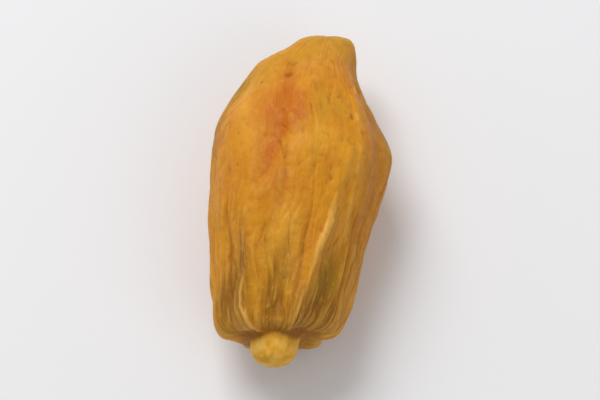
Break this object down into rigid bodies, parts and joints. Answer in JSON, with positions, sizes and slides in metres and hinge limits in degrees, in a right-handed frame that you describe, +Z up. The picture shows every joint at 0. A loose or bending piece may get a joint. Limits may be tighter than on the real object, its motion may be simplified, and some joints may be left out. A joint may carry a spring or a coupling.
{
  "type": "dried hog plum",
  "caption": "Whole dried hog plum lying on its side: a ribbed, elongated oval fruit with a pale stalk knob at one end and a blunt tip bent to one side.",
  "frame": {"origin": "centre of the bounding box's underside, on the surface that the fruit rests on", "axes": "+Y from the stalk knob to the tip, +Z up, +X to the side that the tip bends to"},
  "size_m": [0.024, 0.045, 0.0205],
  "materials": {
    "flesh": "satin"
  },
  "bodies": {
    "root": {"dried_hog_plum": "flesh"}
  },
  "joints": []
}
